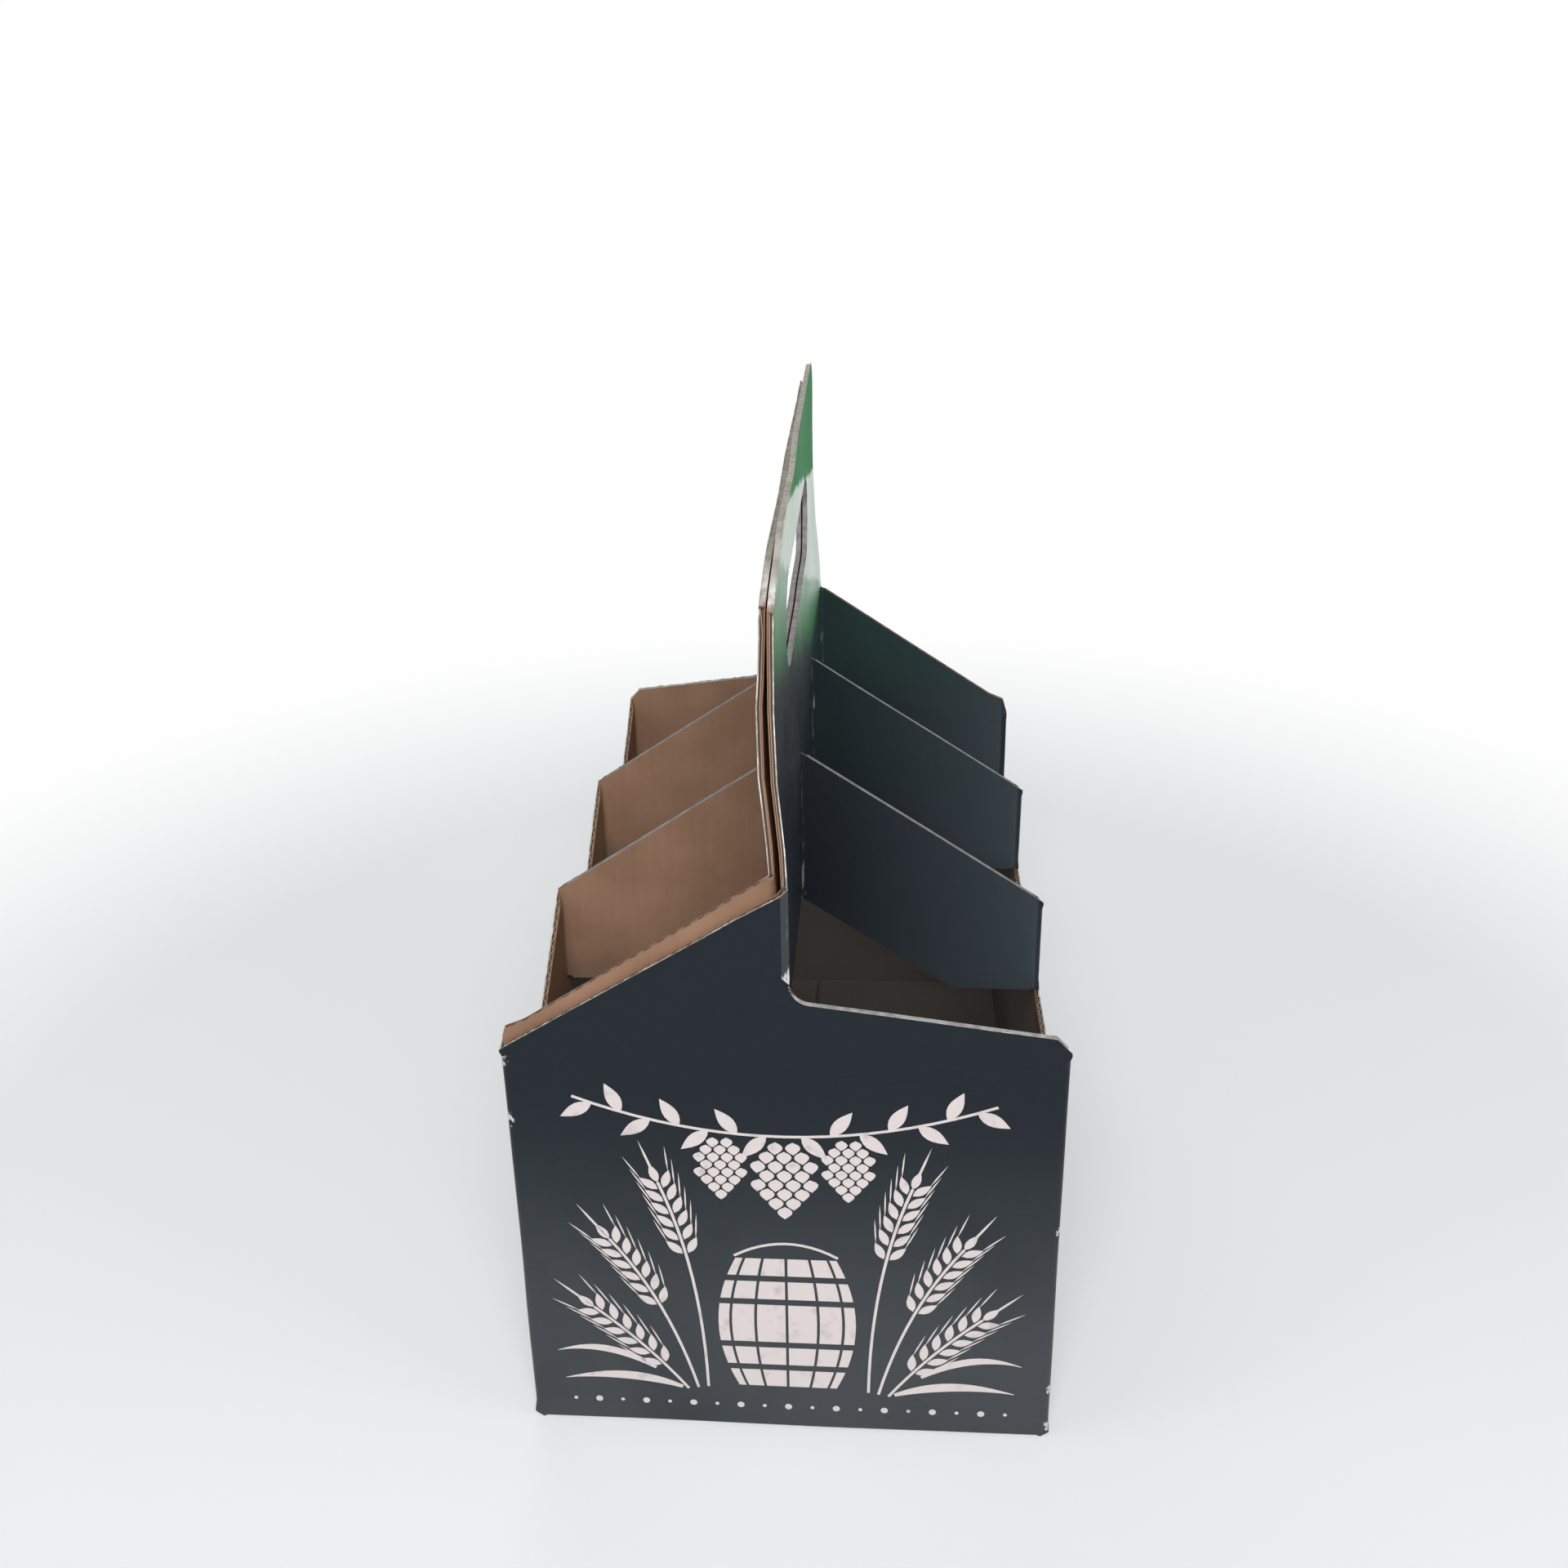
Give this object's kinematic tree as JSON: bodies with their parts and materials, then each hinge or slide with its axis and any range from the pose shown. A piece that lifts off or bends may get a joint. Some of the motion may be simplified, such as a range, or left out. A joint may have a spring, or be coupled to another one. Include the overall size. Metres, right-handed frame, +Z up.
{
  "type": "bottle carrier",
  "caption": "Open-topped bottle carrier folded from one sheet of printed corrugated board, with a two-ply handle, slanted straps between the cells and a long hand slot.",
  "frame": {"origin": "centre of the underside", "axes": "+Z up, +Y along the handle from the front panel to the back panel, +X across to the right"},
  "size_m": [0.13, 0.1978, 0.234],
  "materials": {
    "printed_board": "glossy black print outside, bare kraft inside"
  },
  "bodies": {
    "root": {"bottle_carrier": "printed_board"}
  },
  "joints": []
}
